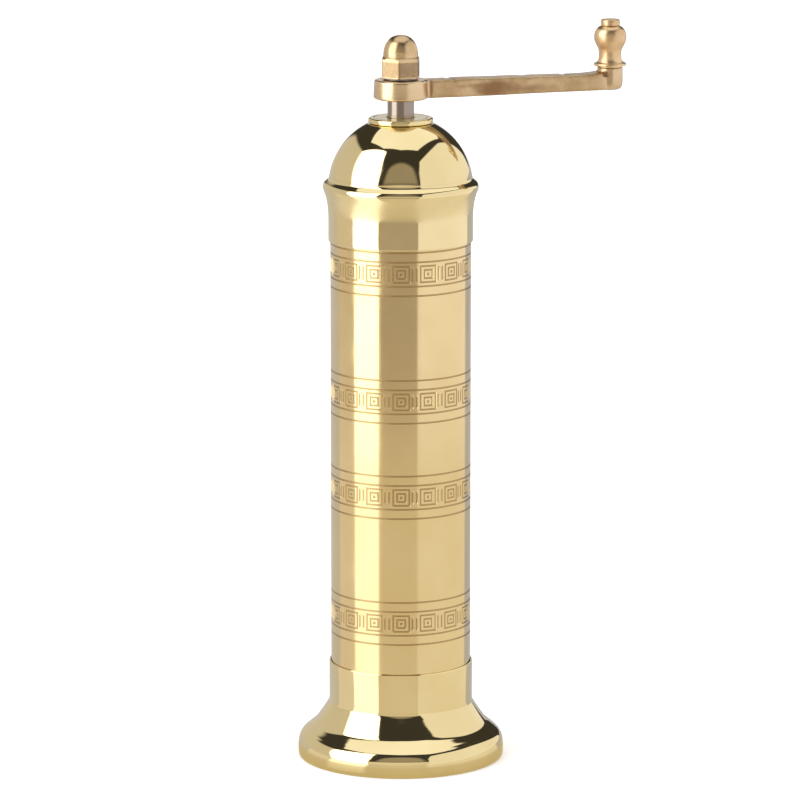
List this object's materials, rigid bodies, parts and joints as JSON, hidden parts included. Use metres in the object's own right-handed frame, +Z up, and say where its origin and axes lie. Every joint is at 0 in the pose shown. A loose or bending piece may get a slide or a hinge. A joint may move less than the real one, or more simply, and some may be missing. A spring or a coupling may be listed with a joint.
{
  "type": "pepper mill",
  "caption": "Tall brass pepper mill with a flared foot, a straight tube with four engraved bands, a domed lift-off cap and a crank with a turned knob on top.",
  "frame": {"origin": "on the mill's axis, in the plane that the foot stands on", "axes": "+Z up along the mill's axis, +X along the crank arm at rest"},
  "size_m": [0.1053, 0.0636, 0.2263],
  "materials": {
    "polished_brass": "mirror polished",
    "satin_brass": "satin, lacquered",
    "cast_brass": "cast and lightly buffed",
    "bush_bronze": "machined",
    "steel": "turned",
    "burr_steel": "hardened, dark"
  },
  "bodies": {
    "root": {"foot": "polished_brass", "body_tube": "satin_brass", "burr_ring": "burr_steel", "bottom_bridge": "bush_bronze", "bridge_screw_1": "steel", "bridge_screw_2": "steel", "guide_bridge": "bush_bronze", "guide_bush": "bush_bronze", "pressure_spring": "steel"},
    "thrust": {"thrust_ball": "steel", "spring_washer": "steel"},
    "adjuster": {"adjusting_screw": "satin_brass"},
    "shaft": {"drive_shaft": "steel", "male_burr": "burr_steel", "burr_pin": "steel", "spring_collar": "satin_brass", "collar_screw": "steel"},
    "crank": {"crank_arm": "cast_brass", "knob_pin": "cast_brass", "knob_washer": "cast_brass"},
    "knob": {"knob": "cast_brass"},
    "nut": {"acorn_nut": "cast_brass", "crank_washer": "steel"},
    "cap": {"cap_skirt": "polished_brass", "cap_dome": "polished_brass", "cap_bush": "polished_brass", "bush_nut": "satin_brass"}
  },
  "joints": [
    {"name": "burr_lift", "type": "slide", "parent": "root", "child": "thrust", "axis": [0, 0, 1], "range_m": [0, 0.0016], "deforming": ["pressure_spring"]},
    {"name": "adjust_turn", "type": "hinge", "parent": "thrust", "child": "adjuster", "pos_m": [0, 0, 0.004], "axis": [0, 0, 1], "range_deg": [0, 720]},
    {"name": "crank_turn", "type": "hinge", "parent": "thrust", "child": "shaft", "pos_m": [0, 0, 0.1], "axis": [0, 0, 1], "continuous": true},
    {"name": "crank_lift", "type": "slide", "parent": "shaft", "child": "crank", "axis": [0, 0, 1], "range_m": [0, 0.062]},
    {"name": "knob_spin", "type": "hinge", "parent": "crank", "child": "knob", "pos_m": [0.0685, 0, 0.218], "axis": [0, 0, 1], "continuous": true},
    {"name": "nut_lift", "type": "slide", "parent": "crank", "child": "nut", "axis": [0, 0, 1], "range_m": [0, 0.0155]},
    {"name": "cap_lift", "type": "slide", "parent": "root", "child": "cap", "axis": [0, 0, 1], "range_m": [0, 0.062]}
  ],
  "couplings": [
    {"joint": "adjust_turn", "follows": "burr_lift", "rad_per_m": 7850},
    {"joint": "crank_lift", "follows": "cap_lift", "ratio": 1},
    {"joint": "nut_lift", "follows": "cap_lift", "ratio": 0.25}
  ]
}
